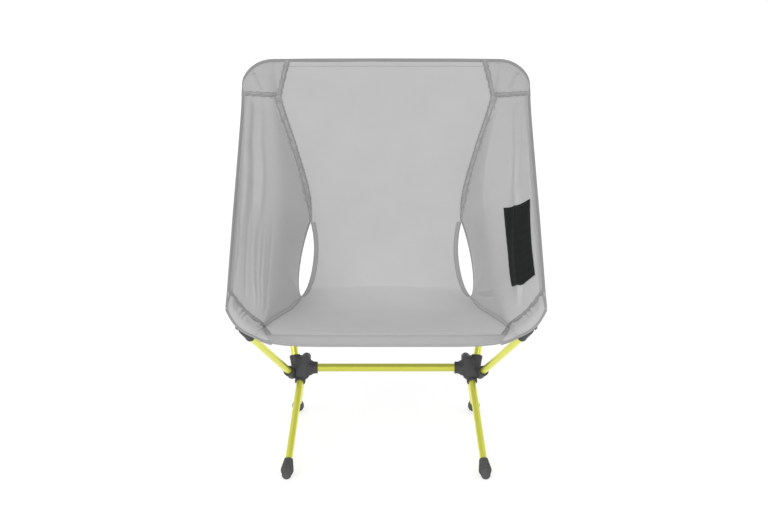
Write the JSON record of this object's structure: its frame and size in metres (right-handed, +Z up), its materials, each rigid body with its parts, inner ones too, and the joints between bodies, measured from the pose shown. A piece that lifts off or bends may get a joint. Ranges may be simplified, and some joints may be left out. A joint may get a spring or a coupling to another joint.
{
  "type": "backpacking chair",
  "caption": "Low camping chair: grey fabric sling seat stretched over splayed aluminium poles that plug into two plastic hubs on a crossbar.",
  "frame": {"origin": "on the ground, under the middle of the chair", "axes": "+Z up, +X to the sitter's left (right when the chair is seen from the front), +Y to the back of the chair, so the sitter faces -Y"},
  "size_m": [0.5196, 0.4787, 0.6475],
  "materials": {
    "anodised_pole": "satin yellow-green anodised tube",
    "plain_aluminium": "plain drawn",
    "hub_plastic": "fine-textured moulded nylon",
    "cap_plastic": "moulded",
    "foot_rubber": "matt moulded rubber",
    "elastic_cord": "braided sheath over rubber",
    "seat_fabric": "light grey ripstop polyester",
    "seam_fabric": "flat-felled seam",
    "hem_fabric": "doubled hem",
    "binding_tape": "bound edge tape",
    "patch_fabric": "reinforcing patch",
    "woven_label": "plain woven label with no marks"
  },
  "bodies": {
    "base": {"left_hub": "hub_plastic", "right_hub": "hub_plastic", "crossbar": "anodised_pole", "left_front_cord": "elastic_cord", "left_rear_cord": "elastic_cord", "right_front_cord": "elastic_cord", "right_rear_cord": "elastic_cord"},
    "left_front_leg_set": {"left_front_leg": "anodised_pole", "left_front_foot": "foot_rubber"},
    "left_rear_leg_set": {"left_rear_leg": "anodised_pole", "left_rear_foot": "foot_rubber"},
    "right_front_leg_set": {"right_front_leg": "anodised_pole", "right_front_foot": "foot_rubber"},
    "right_rear_leg_set": {"right_rear_leg": "anodised_pole", "right_rear_foot": "foot_rubber"},
    "seat": {"centre_panel": "seat_fabric", "left_wing": "seat_fabric", "right_wing": "seat_fabric", "left_seam": "seam_fabric", "right_seam": "seam_fabric", "left_wing_hem": "hem_fabric", "right_wing_hem": "hem_fabric", "left_back_binding": "binding_tape", "right_back_binding": "binding_tape", "left_wing_binding": "binding_tape", "right_wing_binding": "binding_tape", "top_hem": "hem_fabric", "front_hem": "hem_fabric", "left_top_patch": "patch_fabric", "right_top_patch": "patch_fabric", "left_top_pocket": "patch_fabric", "right_top_pocket": "patch_fabric", "left_front_pocket": "patch_fabric", "right_front_pocket": "patch_fabric", "side_label": "woven_label"},
    "left_arm_set": {"left_arm": "anodised_pole", "left_arm_cap": "cap_plastic"},
    "left_back_lower_set": {"left_back_pole_lower": "anodised_pole", "left_ferrule": "plain_aluminium"},
    "left_back_upper_set": {"left_back_pole_upper": "anodised_pole", "left_back_cap": "cap_plastic"},
    "right_arm_set": {"right_arm": "anodised_pole", "right_arm_cap": "cap_plastic"},
    "right_back_lower_set": {"right_back_pole_lower": "anodised_pole", "right_ferrule": "plain_aluminium"},
    "right_back_upper_set": {"right_back_pole_upper": "anodised_pole", "right_back_cap": "cap_plastic"}
  },
  "joints": [
    {"name": "left_front_leg_pull", "type": "slide", "parent": "base", "child": "left_front_leg_set", "axis": [-0.089, -0.8046, -0.5871], "range_m": [0, 0.03], "stiffness_N_per_m": 80, "springref_m": -0.06},
    {"name": "left_rear_leg_pull", "type": "slide", "parent": "base", "child": "left_rear_leg_set", "axis": [-0.0826, 0.812, -0.5778], "range_m": [0, 0.03], "stiffness_N_per_m": 80, "springref_m": -0.06},
    {"name": "right_front_leg_pull", "type": "slide", "parent": "base", "child": "right_front_leg_set", "axis": [0.089, -0.8046, -0.5871], "range_m": [0, 0.03], "stiffness_N_per_m": 80, "springref_m": -0.06},
    {"name": "right_rear_leg_pull", "type": "slide", "parent": "base", "child": "right_rear_leg_set", "axis": [0.0826, 0.812, -0.5778], "range_m": [0, 0.03], "stiffness_N_per_m": 80, "springref_m": -0.06},
    {"name": "seat_lift_off", "type": "slide", "parent": "base", "child": "seat", "axis": [0, 0.4322, 0.9018], "range_m": [0, 0.45]},
    {"name": "left_arm_pull", "type": "slide", "parent": "base", "child": "left_arm_set", "axis": [-0.2914, -0.77, 0.5675], "range_m": [0, 0.03]},
    {"name": "left_back_pole_pull", "type": "slide", "parent": "base", "child": "left_back_lower_set", "axis": [-0.1407, 0.4279, 0.8928], "range_m": [0, 0.03]},
    {"name": "left_back_pole_split", "type": "slide", "parent": "left_back_lower_set", "child": "left_back_upper_set", "axis": [-0.1407, 0.4279, 0.8928], "range_m": [0, 0.054]},
    {"name": "right_arm_pull", "type": "slide", "parent": "base", "child": "right_arm_set", "axis": [0.2914, -0.77, 0.5675], "range_m": [0, 0.03]},
    {"name": "right_back_pole_pull", "type": "slide", "parent": "base", "child": "right_back_lower_set", "axis": [0.1407, 0.4279, 0.8928], "range_m": [0, 0.03]},
    {"name": "right_back_pole_split", "type": "slide", "parent": "right_back_lower_set", "child": "right_back_upper_set", "axis": [0.1407, 0.4279, 0.8928], "range_m": [0, 0.054]}
  ],
  "couplings": [
    {"joint": "left_arm_pull", "follows": "seat_lift_off", "ratio": 0.066},
    {"joint": "left_back_pole_pull", "follows": "seat_lift_off", "ratio": 0.066},
    {"joint": "left_back_pole_split", "follows": "seat_lift_off", "ratio": 0.118},
    {"joint": "right_arm_pull", "follows": "seat_lift_off", "ratio": 0.066},
    {"joint": "right_back_pole_pull", "follows": "seat_lift_off", "ratio": 0.066},
    {"joint": "right_back_pole_split", "follows": "seat_lift_off", "ratio": 0.118}
  ]
}
